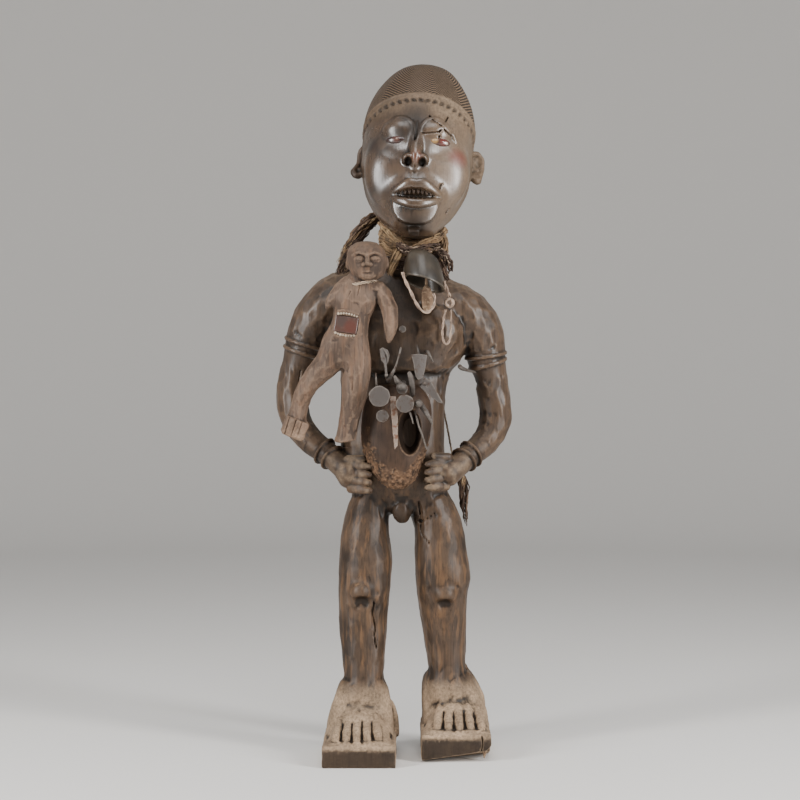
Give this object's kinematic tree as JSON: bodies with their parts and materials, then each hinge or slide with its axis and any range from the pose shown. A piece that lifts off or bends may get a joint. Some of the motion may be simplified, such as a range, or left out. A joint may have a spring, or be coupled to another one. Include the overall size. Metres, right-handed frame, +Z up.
{
  "type": "nail figure",
  "caption": "Carved standing power figure with hands on its hips, iron nails and blades driven in around a resin belly pack, and a small figure and a bell hung from its bound neck.",
  "frame": {"origin": "on the floor, under the middle of the object", "axes": "+Z up; the figure faces -Y, so its right side is towards -X"},
  "size_m": [0.2876, 0.1864, 0.8394],
  "materials": {
    "carved_wood": "dark patinated hardwood, polished by handling on its high parts, dusty in its cuts",
    "small_figure_wood": "adze-faceted wood, paler and drier",
    "raw_wood": "bare broken wood",
    "bell_wood": "dark oiled wood",
    "clapper_wood": "worn wood",
    "resin_pack": "resin and earth, smooth above and crusted at its edge",
    "iron": "hand-forged iron, dull, with light worn edges",
    "rusted_iron": "forged iron covered with rust",
    "eye_glass": "dark backed glass, scratched",
    "window_glass": "red backed glass",
    "leather_thong": "dry twisted hide",
    "raffia_binding": "frayed ochre raffia and cloth",
    "dark_cord": "dark twisted plant fibre",
    "pale_cord": "pale twisted plant fibre"
  },
  "bodies": {
    "root": {"figure": "carved_wood", "large_round_head_nail": "iron", "middle_round_head_nail": "iron", "small_round_head_nail": "iron", "domed_nail": "iron", "chest_nail": "iron", "ball_head_nail": "iron", "horn_shaped_spike": "iron", "thick_peg": "iron", "slender_spike": "iron", "thin_spike": "iron", "curved_wire": "iron", "thin_nail": "iron", "iron_claw": "iron", "hooked_tack": "iron", "armpit_nail": "iron", "folded_blade": "iron", "flared_blade": "iron", "pointed_blade": "iron", "rusty_blade": "rusted_iron", "eye_right": "eye_glass", "eye_left": "eye_glass", "foot_splinter": "raw_wood", "belly_window": "window_glass", "small_figure": "small_figure_wood", "medicine_pack": "resin_pack", "bell_clapper": "clapper_wood", "bell": "bell_wood", "thong_knot": "leather_thong", "thong_loop": "leather_thong", "thong_strand": "leather_thong", "thong_hairpin": "leather_thong", "neck_binding": "raffia_binding", "cord_necklace": "dark_cord", "small_figure_cord": "dark_cord", "raffia_tuft": "raffia_binding", "raffia_hank": "dark_cord", "twig_bundle": "dark_cord", "back_cord": "pale_cord", "hip_tassel": "dark_cord"}
  },
  "joints": []
}
